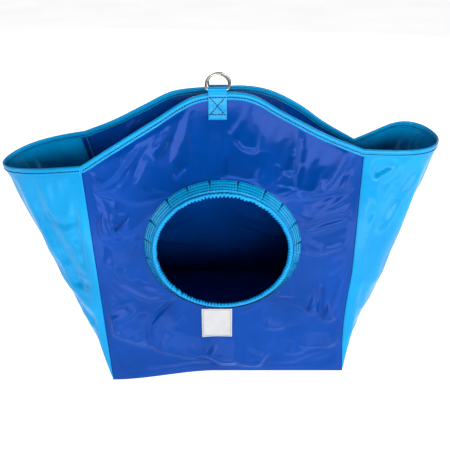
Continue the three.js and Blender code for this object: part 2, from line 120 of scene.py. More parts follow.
# ---- the bag's edges -------------------------------------------------------------------
def rim_curve(start, middle, end, per_span=40):
    """A centripetal Catmull-Rom curve through the rim's points, as a fine polyline."""
    points = np.array([TOP[start], *middle, TOP[end]], float)
    points = np.vstack([2 * points[0] - points[1], points, 2 * points[-1] - points[-2]])
    t = np.linspace(0, 1, per_span, endpoint=False)[:, None]
    line = []
    for i in range(1, len(points) - 2):
        p0, p1, p2, p3 = points[i - 1:i + 3]
        d0, d1, d2 = np.sqrt(np.linalg.norm(np.diff(points[i - 1:i + 3], axis=0), axis=1))
        m1 = ((p1 - p0) / d0 - (p2 - p0) / (d0 + d1) + (p2 - p1) / d1) * d1
        m2 = ((p2 - p1) / d1 - (p3 - p1) / (d1 + d2) + (p3 - p2) / d2) * d1
        line.append(p1 + m1 * t + (3 * (p2 - p1) - 2 * m1 - m2) * t ** 2
                    + (2 * (p1 - p2) + m1 + m2) * t ** 3)
    return np.vstack([*line, points[-2]])


RIM = {
    "front": rim_curve("frontLeft", FRONT_RIM, "frontRight"),
    "right": rim_curve("frontRight", RIGHT_RIM, "backRight"),
    "back": rim_curve("backLeft", BACK_RIM, "backRight"),
    "left": rim_curve("frontLeft", LEFT_RIM, "backLeft"),
}


def lengths_along(line):
    return np.concatenate([[0], np.cumsum(np.linalg.norm(np.diff(line, axis=0), axis=1))])


def at_x(curve, x):
    return np.stack([np.interp(x, curve[:, 0], curve[:, k]) for k in range(3)], -1)


def at_share(curve, t):
    """The point at a share t of the curve's length."""
    along = lengths_along(curve)
    return np.stack([np.interp(np.clip(t, 0, 1) * along[-1], along, curve[:, k]) for k in range(3)], -1)


def seam(corner, v):
    v = np.asarray(v, float)[..., None]
    p = mix(BASE[corner], TOP[corner], v)
    p[..., 0] += WAIST[corner] * np.sin(np.pi * np.minimum(v[..., 0] * 2, 1))
    return p


# ---- the walls' surfaces ---------------------------------------------------------------
HOLE_CENTRE = np.array([HOLE["x"], HOLE["y"], HOLE["z"]], float)
HOLE_AXIS = np.array([0, -math.cos(HOLE["tilt"]), math.sin(HOLE["tilt"])])
HOLE_UP = np.array([0, math.sin(HOLE["tilt"]), math.cos(HOLE["tilt"])])
ACROSS = np.array([1.0, 0, 0])


def front_depth(x, z):
    """The free surface of the front panel, away from the hole."""
    width = BASE["frontRight"][0] - BASE["frontLeft"][0]
    u = np.clip((x - BASE["frontLeft"][0]) / width, 0, 1)
    low = mix(BASE["frontLeft"][1], BASE["frontRight"][1], smooth(u / LOW_EDGE_TURN))
    rim = at_x(RIM["front"], np.clip(x, TOP["frontLeft"][0], TOP["frontRight"][0]))
    v = np.clip(z / rim[..., 2], 0, 1)
    return mix(low, rim[..., 1], v) - BULGE_FRONT * 16 * u * (1 - u) * v * (1 - v)


def ring_point(radius, rise, angle):
    """A point round the hole: radius from its axis, rise to the front of the collar's foot."""
    radius, rise, angle = np.broadcast_arrays(radius, rise, angle)
    return (HOLE_CENTRE + (radius * np.cos(angle))[..., None] * ACROSS
            + (radius * np.sin(angle))[..., None] * HOLE_UP + rise[..., None] * HOLE_AXIS)


def beside_hole(foot, edge, s):
    """A point between the collar's foot and the panel's edge: flat by the collar, free by the edge."""
    s = np.asarray(s, float)
    p = foot + (edge - foot) * s[..., None]
    free = mix(p[..., 1], front_depth(p[..., 0], p[..., 2]), smooth(s))
    p[..., 1] = np.where(s < 1, free, np.broadcast_to(edge[..., 1], s.shape))
    return p


def foot_angle(edge):
    return np.arctan2((edge - HOLE_CENTRE) @ HOLE_UP, edge[..., 0] - HOLE["x"])


def front_outline(per_side):
    """The front panel's edge, anticlockwise from its lower left corner."""
    t = np.arange(per_side) / per_side
    x = mix(BASE["frontLeft"][0], BASE["frontRight"][0], t)
    bottom = np.stack([x, front_depth(x, np.zeros_like(x)), np.zeros_like(x)], -1)
    top = at_x(RIM["front"], mix(TOP["frontRight"][0], TOP["frontLeft"][0], t))
    return np.vstack([bottom, seam("frontRight", t), top, seam("frontLeft", 1 - t)])


def front_grid(per_side, rows, tucked):
    """Stations round the hole by rows out to the edge. The first rows lie under the collar."""
    edge = front_outline(per_side)[:, None]
    angle = foot_angle(edge)
    s = np.linspace(0, 1, rows)[None].repeat(len(edge), 0)
    open_part = beside_hole(ring_point(HOLE["foot"], 0, angle), edge, s)
    under = np.linspace(0.6, 0, tucked, endpoint=False)[None]
    cone = ring_point(mix(HOLE["foot"], HOLE["lip"], under), HOLE["rise"] * under, angle)
    return np.concatenate([cone, open_part], 1)


def back_point(u, v):
    u, v = np.broadcast_arrays(u, v)
    along, up = u[..., None], v[..., None]
    low = mix(BASE["backLeft"], BASE["backRight"], along)
    high = at_x(RIM["back"], mix(TOP["backLeft"][0], TOP["backRight"][0], u))
    corners = mix(low, mix(TOP["backLeft"], TOP["backRight"], along), up)
    p = mix(low, high, up) + mix(seam("backLeft", v), seam("backRight", v), along) - corners
    p[..., 1] += BULGE_BACK * 16 * u * (1 - u) * v * (1 - v)
    return p


def gusset_sharp(side, u, v):
    """A stiff rectangle folded along two lines from the base's corners up to the mouth."""
    front_fold, back_fold = FOLDS[side]
    front, back = ("frontLeft", "backLeft") if side == "left" else ("frontRight", "backRight")
    a = front_fold * v
    b = 1 - (1 - back_fold) * v
    safe = np.maximum(v, 1e-6)
    middle = (u - a) / (b - a)
    share = np.where(u <= a, u / safe, np.where(u >= b, 1 - (1 - u) / safe,
                                                mix(front_fold, back_fold, middle)))
    low = mix(BASE[front], BASE[back], np.where(u <= a, 0, np.where(u >= b, 1, middle))[..., None])
    return mix(low, at_share(RIM[side], share), v[..., None])


def gusset_point(side, u, v):
    """A point on a gusset, whose folds are rounded off by averaging over a short reach."""
    samples = 7
    u, v = np.broadcast_arrays(np.asarray(u, float), np.asarray(v, float))
    reach = np.minimum(FOLD_SOFTNESS, np.minimum(u, 1 - u))
    p = sum(gusset_sharp(side, u + reach * t, v) for t in np.linspace(-1, 1, samples)) / samples
    for corner, distance in zip(("front", "back"), (u, 1 - u)):
        name = corner + side.capitalize()
        shift = seam(name, v)[..., 0] - mix(BASE[name][0], TOP[name][0], v)
        p[..., 0] += shift * np.maximum(0, 1 - distance / BOW_REACH) ** 2
    return p


# ---- creases ---------------------------------------------------------------------------
# A crease is a line on the flat sheet where it stands proud (or, below 0, sinks). It is
# (points, height, reach to the left of its direction, reach to the right): a long reach is a flat
# facet that leads up to the line, and a short one is the sharp fall behind it.
FRONT_CREASES = [
    # under the left half of the rim
    ([(-211, 371), (-191, 377), (-174, 389), (-159, 405), (-144, 424), (-128, 443)], 5.0, 30, 7),
    ([(-199, 362), (-177, 370), (-158, 386), (-146, 407)], 2.0, 8, 6),
    ([(-152, 370), (-139, 396), (-130, 415), (-112, 436), (-90, 456), (-70, 470)], 3.8, 17, 9),
    ([(-107, 405), (-84, 433), (-68, 461), (-60, 488)], 3.2, 15, 12),
    # upright facets beside the left seam
    ([(-214, 300), (-200, 293), (-186, 296)], 7.0, 70, 10),
    ([(-206, 243), (-189, 240)], 4.0, 50, 8),
    ([(-178, 306), (-168, 297), (-158, 296)], 7.0, 72, 10),
    ([(-172, 368), (-178, 335), (-182, 296)], -2.5, 5, 5),
    # creases that run from the left seam down to the collar, and the facets under them
    ([(-197, 236), (-177, 214), (-158, 199), (-134, 180), (-104, 173)], 3.6, 18, 4),
    ([(-195, 206), (-170, 185), (-136, 161), (-101, 161)], 2.6, 11, 4),
    ([(-213, 152), (-200, 108), (-169, 90), (-143, 72)], 8.0, 66, 12),
    ([(-80, 158), (-99, 153), (-118, 135), (-139, 114), (-140, 92), (-138, 66)], -3.2, 8, 8),
    ([(-136, 70), (-104, 53), (-65, 37), (-38, 38)], 6.0, 42, 10),
    ([(-40, 42), (-6, 24), (28, 26)], 6.0, 46, 12),
    # round the upper half of the collar
    ([(-80, 392), (-69, 404), (-57, 413)], 2.4, 11, 7),
    ([(-6, 400), (20, 398), (49, 388)], 5.2, 33, 5),
    ([(10, 450), (28, 437), (54, 430)], 4.2, 30, 6),
    # upper right
    ([(115, 366), (116, 398), (118, 425), (114, 455)], -4.0, 9, 9),
    ([(120, 371), (150, 362), (204, 366)], 9.0, 76, 8),
    ([(92, 402), (104, 396), (112, 400)], 4.0, 42, 5),
    # nearly level ridges between the collar and the right seam
    ([(113, 319), (133, 321), (157, 322), (184, 326), (210, 326)], 4.6, 28, 7),
    ([(124, 298), (152, 303), (184, 308), (208, 312)], 2.4, 5, 12),
    ([(124, 270), (160, 262), (206, 266)], 4.0, 30, 10),
    # lower right
    ([(84, 176), (100, 171), (128, 170)], 3.0, 20, 6),
    ([(146, 142), (158, 138), (170, 140)], 6.0, 54, 8),
    ([(177, 122), (190, 119), (203, 126)], 6.0, 60, 8),
    ([(172, 196), (174, 160), (173, 128)], -3.0, 6, 6),
    ([(72, 101), (90, 98), (112, 103)], 3.4, 22, 8),
    ([(168, 114), (194, 142), (204, 197), (212, 267), (210, 290)], 2.4, 10, 7),
    ([(138, 64), (154, 59), (190, 60), (208, 68)], 5.4, 32, 8),
    ([(116, 44), (134, 40), (152, 47)], 3.2, 24, 8),
    ([(28, 8), (64, 12), (80, 46)], 5.0, 48, 8),
    ([(20, 124), (49, 138), (67, 150), (113, 160)], 1.6, 7, 4),
]
# On a gusset the first number runs from its front seam to its back seam, the second up the seam.
LEFT_CREASES = [
    ([(30, 190), (62, 290), (97, 385)], 5.0, 22, 14),
    ([(12, 225), (24, 300), (18, 372)], 3.2, 9, 8),
    ([(8, 214), (30, 206), (52, 214)], 3.0, 12, 9),
    ([(14, 330), (44, 322), (78, 336)], 2.6, 16, 8),
    ([(6, 120), (40, 150), (70, 190)], 4.0, 20, 14),
    ([(90, 60), (130, 150), (150, 260)], 5.0, 30, 26),
    ([(200, 60), (190, 180), (210, 300)], 5.0, 28, 26),
]
RIGHT_CREASES = [
    ([(92, 398), (66, 360), (42, 300)], 4.6, 12, 22),
    ([(6, 400), (20, 384), (48, 402)], 4.0, 20, 8),
    ([(6, 250), (16, 318), (14, 372)], 3.0, 8, 10),
    ([(50, 358), (66, 350), (80, 362)], -2.6, 9, 9),
    ([(4, 60), (24, 76), (50, 78)], 3.0, 14, 8),
    ([(90, 60), (130, 150), (150, 260)], 5.0, 30, 26),
    ([(200, 60), (190, 180), (210, 300)], 5.0, 28, 26),
]
BACK_CREASES = [
    ([(60, 120), (140, 96), (230, 104)], 6.0, 60, 12),
    ([(250, 150), (330, 120), (400, 150)], 6.0, 56, 12),
    ([(30, 250), (80, 210), (110, 150)], 4.0, 22, 14),
    ([(130, 330), (200, 300), (300, 312)], 5.0, 60, 14),
    ([(420, 330), (380, 260), (390, 180)], 4.0, 18, 14),
    ([(20, 360), (60, 380), (120, 430)], 4.0, 18, 9),
    ([(300, 430), (350, 390), (420, 380)], 4.0, 16, 10),
]


CREASE_END = 0.22             # share of a crease's length over which it fades out at each end


def crease(flat, points, height, left, right):
    """The height that one crease gives to points on the flat sheet."""
    line = np.array(points, float)
    total = lengths_along(line)
    best = np.full(flat.shape[:-1], np.inf)
    side = np.zeros_like(best)
    share = np.zeros_like(best)
    for start, end, done in zip(line[:-1], line[1:], total):
        step = end - start
        t = np.clip((flat - start) @ step / (step @ step), 0, 1)
        gap = flat - (start + t[..., None] * step)
        distance = np.linalg.norm(gap, axis=-1)
        nearer = distance < best
        best = np.where(nearer, distance, best)
        side = np.where(nearer, step[0] * gap[..., 1] - step[1] * gap[..., 0], side)
        share = np.where(nearer, (done + t * np.linalg.norm(step)) / total[-1], share)
    reach = np.where(side > 0, left, right)
    fall = np.clip(1 - best / reach, 0, 1)
    ends = smooth(share / CREASE_END) * smooth((1 - share) / CREASE_END)
    return height * (0.6 * fall + 0.4 * smooth(fall)) * mix(0.25, 1, ends)


CRUMPLE = {"length": (20, 62), "bend": (-0.4, 0.4), "reach": (6, 26), "height": (-1.3, 1.5)}


def crumples(flat, seed, count):
    """Many small random creases."""
    rng = np.random.default_rng(seed)
    span = flat.reshape(-1, 2).max(0) - flat.reshape(-1, 2).min(0)
    first = flat.reshape(-1, 2).min(0)
    total = np.zeros(flat.shape[:-1])
    for _ in range(count):
        start = first + rng.uniform(0, 1, 2) * span
        angle = rng.uniform(0, math.pi)
        length = rng.uniform(*CRUMPLE["length"])
        bend = rng.uniform(*CRUMPLE["bend"])
        middle = start + length / 2 * np.array([math.cos(angle), math.sin(angle)])
        end = middle + length / 2 * np.array([math.cos(angle + bend), math.sin(angle + bend)])
        sides = rng.uniform(*CRUMPLE["reach"], 2)
        total += crease(flat, [start, middle, end], rng.uniform(*CRUMPLE["height"]), *sides)
    return total


def relief(flat, creases, seed, crumple_count):
    """A sheet's height over its smooth surface: creases, crumples and two sizes of soft waves."""
    total = sum(crease(flat, *one) for one in creases)
    total = total + crumples(flat, seed, crumple_count)
    return total + 0.7 * waves(flat, seed + 1, 70, 160) + 0.12 * waves(flat, seed + 2, 14, 30)


# ---- meshes ----------------------------------------------------------------------------
def grid_faces(rows, columns, wrap_rows=False, wrap_columns=False, flip=False):
    i, j = np.meshgrid(np.arange(rows if wrap_rows else rows - 1),
                       np.arange(columns if wrap_columns else columns - 1), indexing="ij")
    after_i, after_j = (i + 1) % rows, (j + 1) % columns
    quads = np.stack([i * columns + j, after_i * columns + j,
                      after_i * columns + after_j, i * columns + after_j], -1).reshape(-1, 4)
    return quads[:, ::-1] if flip else quads


def grid_normals(grid, wrap_rows=False):
    if wrap_rows:
        down_rows = np.roll(grid, -1, 0) - np.roll(grid, 1, 0)
    else:
        down_rows = np.gradient(grid, axis=0)
    return unit(np.cross(down_rows, np.gradient(grid, axis=1)))


def piece(name, vertices, faces, look, body="bag"):
    data = bpy.data.meshes.new(name)
    data.from_pydata((np.asarray(vertices).reshape(-1, 3) * MM).tolist(), [], np.asarray(faces).tolist())
    data.shade_smooth()
    data.materials.append(look)
    obj = bpy.data.objects.new(name, data)
    bpy.context.scene.collection.objects.link(obj)
    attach(obj, body)
    return obj


def many(name, parts, look):
    """One piece from several (vertices, faces) parts."""
    vertices, faces, first = [], [], 0
    for part_vertices, part_faces in parts:
        flat = np.asarray(part_vertices).reshape(-1, 3)
        vertices.append(flat)
        faces += (np.asarray(part_faces) + first).tolist()
        first += len(flat)
    return piece(name, np.vstack(vertices), faces, look)


def thicken(obj):
    solid = obj.modifiers.new("thickness", "SOLIDIFY")
    solid.thickness = SHEET * MM
    solid.offset = -1
    solid.use_even_offset = False


def closed_strip(grid, thickness, wrap_rows=False):
    """A thin closed solid whose outer face is the grid."""
    normals = grid_normals(grid, wrap_rows)
    section = np.concatenate([grid, (grid - normals * thickness)[:, ::-1]], 1)
    faces = [grid_faces(*section.shape[:2], wrap_rows, True)]
    if not wrap_rows:
        n = section.shape[1]
        last = (section.shape[0] - 1) * n
        half = n // 2
        for j in range(half - 1):
            faces.append(np.array([[j, j + 1, n - 2 - j, n - 1 - j]]))
            faces.append(np.array([[last + j, last + n - 1 - j, last + n - 2 - j, last + j + 1]]))
    return section, np.vstack(faces)


BUCKLE = {"growth": 0.004, "cap": 5, "frames": 24}    # how much too large, and the most it moves


def relax(obj, held):
    """Lets a sheet that is a little too large for its sewn edges buckle, by cloth simulation."""
    data = obj.data
    before = np.array([v.co for v in data.vertices])
    group = obj.vertex_groups.new(name="sewn")
    for level in np.unique(np.round(held, 1)):
        if level > 0:
            group.add(np.flatnonzero(np.round(held, 1) == level).tolist(), float(level), "REPLACE")
    cloth = obj.modifiers.new("cloth", "CLOTH")
    settings = cloth.settings
    settings.quality = 5
    settings.mass = 0.4
    settings.air_damping = 4
    settings.tension_stiffness = settings.compression_stiffness = 30
    settings.shear_stiffness = 15
    settings.bending_stiffness = 6
    settings.shrink_min = -BUCKLE["growth"]
    settings.vertex_group_mass = "sewn"
    settings.pin_stiffness = 2
    settings.effector_weights.gravity = 0.15
    cloth.collision_settings.use_collision = False
    scene = bpy.context.scene
    for number in range(1, BUCKLE["frames"] + 1):
        scene.frame_set(number)
    settled = obj.evaluated_get(bpy.context.evaluated_depsgraph_get()).data
    after = np.array([v.co for v in settled.vertices])
    obj.modifiers.remove(cloth)
    scene.frame_set(1)
    moved = after - before
    size = np.linalg.norm(moved, axis=1, keepdims=True)
    cap = BUCKLE["cap"]
    moved *= np.tanh(size / (cap * MM)) * cap * MM / np.maximum(size, 1e-9)
    data.vertices.foreach_set("co", (before + moved).astype(np.float32).ravel())
    data.update()


# ---- materials -------------------------------------------------------------------------
class Nodes:
    """A small helper for one material's node tree."""

    def __init__(self, name):
        self.material = bpy.data.materials.new(name)
        self.material.use_nodes = True
        self.tree = self.material.node_tree
        self.shader = self.tree.nodes["Principled BSDF"]
        self.place = self.tree.nodes.new("ShaderNodeTexCoord").outputs["Object"]

    def node(self, kind, **inputs):
        made = self.tree.nodes.new(kind)
        for key, value in inputs.items():
            made.inputs[key.replace("_", " ")].default_value = value
        return made

    def link(self, start, end):
        self.tree.links.new(start, end)

    def noise(self, scale, detail=3.0, roughness=0.55, stretch=(1, 1, 1)):
        made = self.node("ShaderNodeTexNoise", Scale=scale, Detail=detail, Roughness=roughness)
        mapping = self.node("ShaderNodeMapping", Scale=stretch)
        self.link(self.place, mapping.inputs["Vector"])
        self.link(mapping.outputs["Vector"], made.inputs["Vector"])
        return made.outputs["Fac"]

    def ramp(self, value, *stops):
        made = self.tree.nodes.new("ShaderNodeValToRGB")
        elements = made.color_ramp.elements
        while len(elements) < len(stops):
            elements.new(0.5)
        for element, (position, colour) in zip(elements, stops):
            element.position = position
            element.color = (*colour, 1)
        self.link(value, made.inputs["Fac"])
        return made.outputs["Color"]

    def spread(self, value, low, high, start=0.3, end=0.7):
        made = self.node("ShaderNodeMapRange", From_Min=start, From_Max=end, To_Min=low, To_Max=high)
        self.link(value, made.inputs["Value"])
        return made.outputs["Result"]

    def bump(self, *layers):
        """Each layer is (height output, strength, distance in metres)."""
        normal = None
        for height, strength, distance in layers:
            made = self.node("ShaderNodeBump", Strength=strength, Distance=distance)
            self.link(height, made.inputs["Height"])
            if normal is not None:
                self.link(normal, made.inputs["Normal"])
            normal = made.outputs["Normal"]
        self.link(normal, self.shader.inputs["Normal"])

    def scrim(self, pitch):
        """The faint grid of the woven scrim inside a coated sheet."""
        threads = []
        for axis in ("X", "Z"):
            wave = self.node("ShaderNodeTexWave", Scale=1 / pitch / 20 * math.pi)
            wave.bands_direction = axis
            self.link(self.place, wave.inputs["Vector"])
            threads.append(wave.outputs["Fac"])
        both = self.tree.nodes.new("ShaderNodeMath")
        both.operation = "ADD"
        self.link(threads[0], both.inputs[0])
        self.link(threads[1], both.inputs[1])
        return both.outputs["Value"]


def coated_sheet(name, colour, deep, pale, shine, gloss=(0.10, 0.24)):
    """Glossy PVC on a woven scrim: a clouded colour, scuffs in the gloss and soft ripples."""
    n = Nodes(name)
    clouds = n.ramp(n.noise(9), (0.28, deep), (0.5, colour), (0.74, pale))
    n.link(clouds, n.shader.inputs["Base Color"])
    scuffs = n.noise(34, detail=5, roughness=0.65)
    n.link(n.spread(scuffs, *gloss), n.shader.inputs["Roughness"])
    n.shader.inputs["Specular IOR Level"].default_value = 0.32
    n.shader.inputs["Specular Tint"].default_value = (*shine, 1)
    n.bump((n.noise(26, detail=2), 0.3, 0.0012), (n.noise(150, detail=2), 0.25, 0.0003),
           (n.scrim(0.0011), 0.18, 0.00004))
    return n.material


def nickel():
    """Plated wire with a warm tone, fine scratches and duller patches."""
    n = Nodes("nickel_plate")
    tone = n.ramp(n.noise(70), (0.3, (0.36, 0.32, 0.27)), (0.6, (0.66, 0.62, 0.56)))
    n.link(tone, n.shader.inputs["Base Color"])
    n.shader.inputs["Metallic"].default_value = 1
    n.link(n.spread(n.noise(240, detail=6), 0.16, 0.42), n.shader.inputs["Roughness"])
    n.bump((n.noise(900, detail=3, stretch=(1, 1, 6)), 0.2, 0.00005))
    return n.material


def woven_label():
    """A matte white patch with a fine over-and-under weave."""
    n = Nodes("label_weave")
    tone = n.ramp(n.noise(60, detail=4), (0.3, (0.44, 0.45, 0.46)), (0.7, (0.51, 0.51, 0.51)))
    n.link(tone, n.shader.inputs["Base Color"])
    n.link(n.spread(n.noise(500), 0.55, 0.75), n.shader.inputs["Roughness"])
    n.shader.inputs["Sheen Weight"].default_value = 0.2
    n.bump((n.scrim(0.0007), 0.5, 0.0001))
    return n.material


def thread():
    """Dark waxed sewing thread with a twist."""
    n = Nodes("navy_thread")
    tone = n.ramp(n.noise(300), (0.3, (0.001, 0.002, 0.008)), (0.7, (0.003, 0.006, 0.022)))
    n.link(tone, n.shader.inputs["Base Color"])
    n.link(n.spread(n.noise(900), 0.45, 0.7), n.shader.inputs["Roughness"])
    n.shader.inputs["Specular IOR Level"].default_value = 0.1
    n.bump((n.noise(2500), 0.5, 0.0001))
    return n.material


def studio_floor():
    n = Nodes("studio_floor")
    tone = n.ramp(n.noise(2), (0.3, (0.80, 0.80, 0.80)), (0.7, (0.84, 0.84, 0.84)))
    n.link(tone, n.shader.inputs["Base Color"])
    n.link(tone, n.shader.inputs["Emission Color"])
    n.shader.inputs["Emission Strength"].default_value = 0.95
    n.shader.inputs["Roughness"].default_value = 0.9
    n.shader.inputs["Specular IOR Level"].default_value = 0.1
    return n.material


BLUE = coated_sheet("blue_coated_sheet", (0.0003, 0.046, 0.27), (0.0002, 0.037, 0.22),
                    (0.0005, 0.056, 0.33), shine=(0.26, 0.34, 1.0))
SKY = coated_sheet("sky_coated_sheet", (0.0006, 0.26, 0.58), (0.0004, 0.22, 0.52),
                   (0.0010, 0.31, 0.66), shine=(0.45, 0.85, 1.0))
NICKEL = nickel()
LABEL_WHITE = woven_label()
THREAD = thread()


# ---- sewing thread ---------------------------------------------------------------------
STITCH = {"length": 3.6, "gap": 0.7, "radius": 0.7}


def stitch_row(path, out, length=STITCH["length"], gap=STITCH["gap"], radius=STITCH["radius"],
               seed=1):
    """A row of stitches along a path on a surface whose outward direction is out."""
    rng = np.random.default_rng(seed)
    path = np.asarray(path, float)
    out = np.broadcast_to(out, path.shape)
    along = lengths_along(path)
    centres = np.arange(length / 2 + gap / 2, along[-1] - length / 2, length + gap)

    def at(values, s):
        return np.stack([np.interp(s, along, values[:, k]) for k in range(3)], -1)

    ends = at(path, centres + length / 2) - at(path, centres - length / 2)
    ahead, up = unit(ends), unit(at(out, centres))
    across = unit(np.cross(ahead, up))
    ahead = unit(ahead + across * rng.normal(0, 0.05, (len(centres), 1)))
    stations = np.array([-1, -0.72, 0, 0.72, 1]) * length / 2
    girth = np.array([0.25, 0.85, 1, 0.85, 0.25]) * radius
    lift = np.array([-0.8, 0.45, 0.8, 0.45, -0.8]) * radius
    turns = np.linspace(0, 2 * np.pi, 6, endpoint=False)
    middle = at(path, centres)[:, None, None]
    frame_axes = [axis[:, None, None] for axis in (ahead, up, across)]
    points = (middle + frame_axes[0] * stations[:, None, None]
              + frame_axes[1] * (lift[:, None] + girth[:, None] * np.cos(turns))[..., None]
              + frame_axes[2] * (girth[:, None] * np.sin(turns))[..., None])
    faces = grid_faces(len(stations), len(turns), wrap_columns=True)
    step = len(stations) * len(turns)
    faces = (faces[None] + (np.arange(len(centres)) * step)[:, None, None]).reshape(-1, 4)
    return points, faces


# ---- front panel -----------------------------------------------------------------------
FRONT_SIDE = 104              # stations along each side of the front panel
FRONT_ROWS = 50
TUCKED = 3                    # rows that lie under the collar
BOUND = 9                     # a sheet stays flat this far in from its sewn edges
EDGE_FADE = 13                # and its creases grow to full height over this much more
FOOT_FADE = 9                 # the same beside the collar's foot
CRUMPLES = {"front": 36, "wall": 30}
CREASE_SCALE = {"front": 1.15, "front_low": 0.5, "wall": 1.35}
LOW_HALF = {"top": 240, "over": 130}      # the front panel creases more from here down
UNDER_TAB = {"front": ((TAB["front_x"], 490), 30),      # calm places: centre and radius
             "back": ((TAB["back_x"] - BASE["backLeft"][0], 412), 30),
             "rear": (((REAR_TAB["x"] - BASE["backLeft"][0]) / BACK_WIDTH * PANEL_WIDTH,
                       REAR_TAB["height"] * SIDE_HEIGHT), 62)}


def calm(flat, centre, radius):
    """1 away from a place where the sheet stays flat, such as under a tab, and 0 in it."""
    return smooth(np.linalg.norm(flat - np.array(centre, float), axis=-1) / radius - 0.55)


def front_panel():
    """The front sheet: a grid from under the collar out to the edge, with its creases."""
    grid = front_grid(FRONT_SIDE, FRONT_ROWS, TUCKED)
    normals = -grid_normals(grid, wrap_rows=True)
    from_edge = np.linalg.norm(grid - grid[:, -1:], axis=-1)
    from_foot = np.linalg.norm(grid - grid[:, TUCKED:TUCKED + 1], axis=-1)
    free = smooth((from_edge - BOUND) / EDGE_FADE) * smooth(from_foot / FOOT_FADE)
    free[:, :TUCKED] = 0
    free = free * calm(grid[..., [0, 2]], *UNDER_TAB["front"])
    low = smooth((LOW_HALF["top"] - grid[..., 2]) / LOW_HALF["over"])
    deeper = CREASE_SCALE["front"] + CREASE_SCALE["front_low"] * low
    height = relief(grid[..., [0, 2]], FRONT_CREASES, 11, CRUMPLES["front"]) * free * deeper
    grid = grid + normals * height[..., None]
    obj = piece("front_panel_sheet", grid, grid_faces(*grid.shape[:2], wrap_rows=True, flip=True),
                BLUE)
    relax(obj, (1 - free).reshape(-1))
    return obj


def wall(name, point, width, creases, seed, columns, rows, look, flip, still=()):
    """A back panel or gusset: a grid from its left edge to its right one, with its creases."""
    u, v = np.meshgrid(np.linspace(0, 1, columns), np.linspace(0, 1, rows), indexing="ij")
    grid = point(u, v)
    normals = grid_normals(grid) * (-1 if flip else 1)
    flat = np.stack([u * width, v * SIDE_HEIGHT], -1)
    from_edge = np.minimum(np.minimum(u, 1 - u) * width, np.minimum(v, 1 - v) * SIDE_HEIGHT)
    free = smooth((from_edge - BOUND) / EDGE_FADE)
    for centre, radius in still:
        free = free * calm(flat, centre, radius)
    height = relief(flat, creases, seed, CRUMPLES["wall"]) * free * CREASE_SCALE["wall"]
    grid = grid + normals * height[..., None]
    obj = piece(name, grid, grid_faces(columns, rows, flip=flip), look)
    relax(obj, (1 - free).reshape(-1))
    return obj


# ---- base ------------------------------------------------------------------------------
def base_panel():
    """The flat bottom, a touch above the floor in its middle."""
    t = np.linspace(0, 1, 60)
    x = mix(BASE["frontLeft"][0], BASE["frontRight"][0], t)
    near = np.stack([x, front_depth(x, np.zeros_like(x)), np.zeros_like(x)], -1)
    far = mix(BASE["backLeft"], BASE["backRight"], t[:, None])
    v = np.linspace(0, 1, 44)
    grid = near[:, None] + (far - near)[:, None] * v[None, :, None]
    inner = smooth(np.minimum(t, 1 - t)[:, None] / 0.08) * smooth(np.minimum(v, 1 - v)[None] / 0.08)
    grid[..., 2] = SHEET + 0.1 + inner * (1.8 + 0.6 * waves(grid[..., :2], 5, 60, 150))
    return piece("base_sheet", grid, grid_faces(*grid.shape[:2]), BLUE)


# ---- rim binding -----------------------------------------------------------------------
RIM_STATIONS = {"panel": 120, "gusset": 96}
BINDING_SECTION = [           # out from the wall's outer face, down from its edge
    (0.75, 10.2), (1.25, 9.0), (1.05, 7.4), (0.85, 6.6), (1.15, 5.6), (1.45, 3.2), (1.2, 0.8),
    (0.5, -0.6), (-0.4, -1.0), (-1.4, -0.6), (-2.1, 0.8), (-2.3, 3.2), (-2.0, 5.6), (-1.7, 6.6),
    (-1.9, 7.4), (-2.1, 9.0), (-1.6, 10.2),
]
STITCH_DROP = 6.6             # how far under the rim the binding's stitches run
STITCH_OFF = {"outer": 0.95, "inner": 1.8}      # and how far off the wall's outer face
BINDING_LAYER = 0.6           # thickness of the drawn binding


def soften_loop(directions):
    return unit(sum(np.roll(directions, k, 0) for k in range(-2, 3)))


def rim_loop():
    """Stations once round the rim, anticlockwise from above, with the directions out and down."""
    near = 12                 # the wall's direction is measured this far below the rim

    def front(u):
        return at_x(RIM["front"], mix(TOP["frontLeft"][0], TOP["frontRight"][0], u))

    def front_below(u):
        edge = front(u)
        foot = ring_point(HOLE["foot"], 0, foot_angle(edge))
        return beside_hole(foot, edge, 1 - near / np.linalg.norm(edge - foot, axis=-1))

    low = 1 - near / SIDE_HEIGHT
    runs = [
        (RIM_STATIONS["panel"], front, front_below),
        (RIM_STATIONS["gusset"], lambda u: gusset_point("right", u, 1),
         lambda u: gusset_point("right", u, low)),
        (RIM_STATIONS["panel"], lambda u: back_point(1 - u, 1), lambda u: back_point(1 - u, low)),
        (RIM_STATIONS["gusset"], lambda u: gusset_point("left", 1 - u, 1),
         lambda u: gusset_point("left", 1 - u, low)),
    ]
    top = np.vstack([edge(np.arange(n) / n) for n, edge, _ in runs])
    below = np.vstack([under(np.arange(n) / n) for n, _, under in runs])
    along = unit(np.roll(top, -1, 0) - np.roll(top, 1, 0))
    fall = below - top
    fall = unit(fall - along * (fall * along).sum(-1, keepdims=True))
    out = unit(np.cross(fall, along))
    return top, soften_loop(out), soften_loop(fall)


def rim_binding():
    top, out, fall = rim_loop()
    section = np.array(BINDING_SECTION)
    pucker = 1 + 0.10 * waves(top, 31, 8, 22)
    hem = 0.35 * waves(top, 32, 18, 60)
    deep = np.maximum(section[:, 1], 0)[None] / 10
    o = section[:, 0][None] * pucker[:, None]
    f = section[:, 1][None] + deep * hem[:, None]
    rows = top[:, None] + out[:, None] * o[..., None] + fall[:, None] * f[..., None]
    solid, faces = closed_strip(rows, BINDING_LAYER, wrap_rows=True)
    strip = piece("rim_binding_strip", solid, faces, SKY)
    outer = top + out * STITCH_OFF["outer"] + fall * STITCH_DROP
    inner = top - out * STITCH_OFF["inner"] + fall * STITCH_DROP
    threads = many("rim_stitches", [stitch_row(outer, out, seed=3), stitch_row(inner, -out, seed=4)],
                   THREAD)
    return strip, threads


